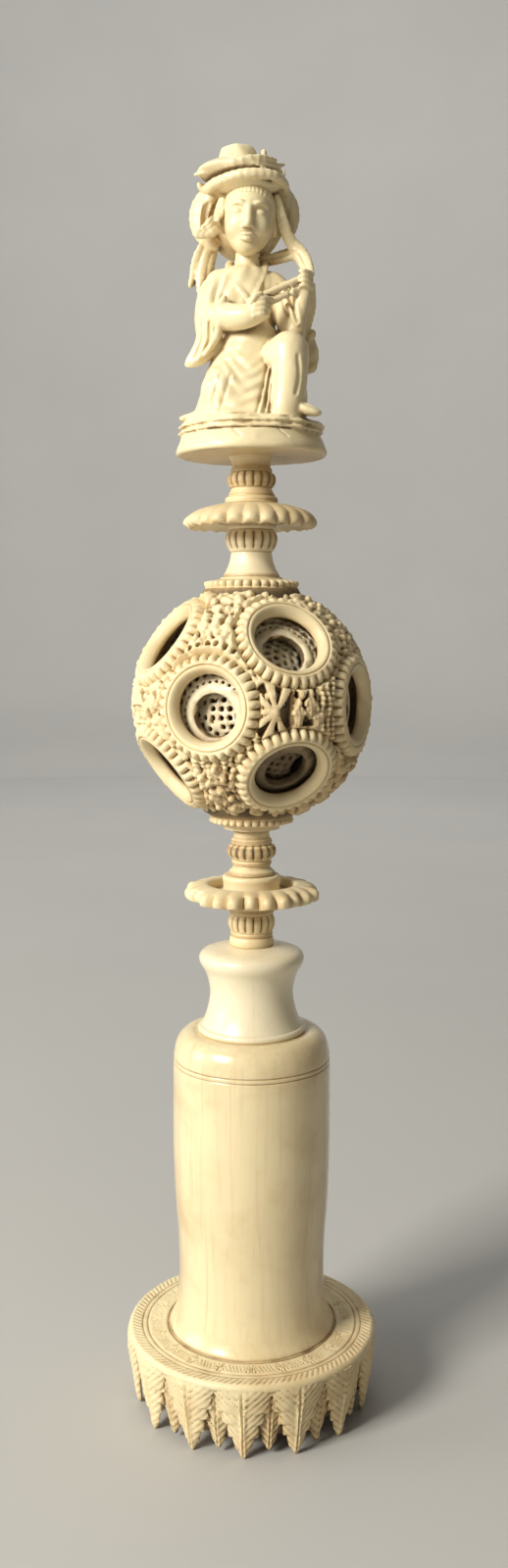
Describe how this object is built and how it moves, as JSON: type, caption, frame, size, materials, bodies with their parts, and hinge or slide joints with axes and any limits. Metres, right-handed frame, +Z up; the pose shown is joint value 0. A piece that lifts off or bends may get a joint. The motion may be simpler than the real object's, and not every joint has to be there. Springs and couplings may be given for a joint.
{
  "type": "puzzle ball on stand",
  "caption": "Openwork ball of loose nested shells between lotus dishes, on a waisted vase with a leaf-edged foot, with a seated robed figure on top.",
  "frame": {"origin": "centre of the stand on the table, level with the tips of the long leaves", "axes": "+Z up through the vase, the ball and the figure; the figure faces -Y, +X to the viewer's right"},
  "size_m": [0.064, 0.064, 0.3092],
  "materials": {
    "ivory_carved": "satin",
    "ivory_polished": "polished",
    "ivory_white": "satin",
    "ivory_aged": "satin"
  },
  "bodies": {
    "root": {"base": "ivory_carved", "vase_body": "ivory_polished", "vase_neck": "ivory_white", "lower_stem_below_dish": "ivory_carved", "lower_stem_above_dish": "ivory_carved", "upper_stem_below_dish": "ivory_white", "upper_stem_above_dish": "ivory_aged", "lower_lotus_dish": "ivory_carved", "upper_lotus_dish": "ivory_aged", "outer_ball": "ivory_aged", "middle_ball": "ivory_white", "inner_ball": "ivory_carved", "figure": "ivory_carved"}
  },
  "joints": []
}
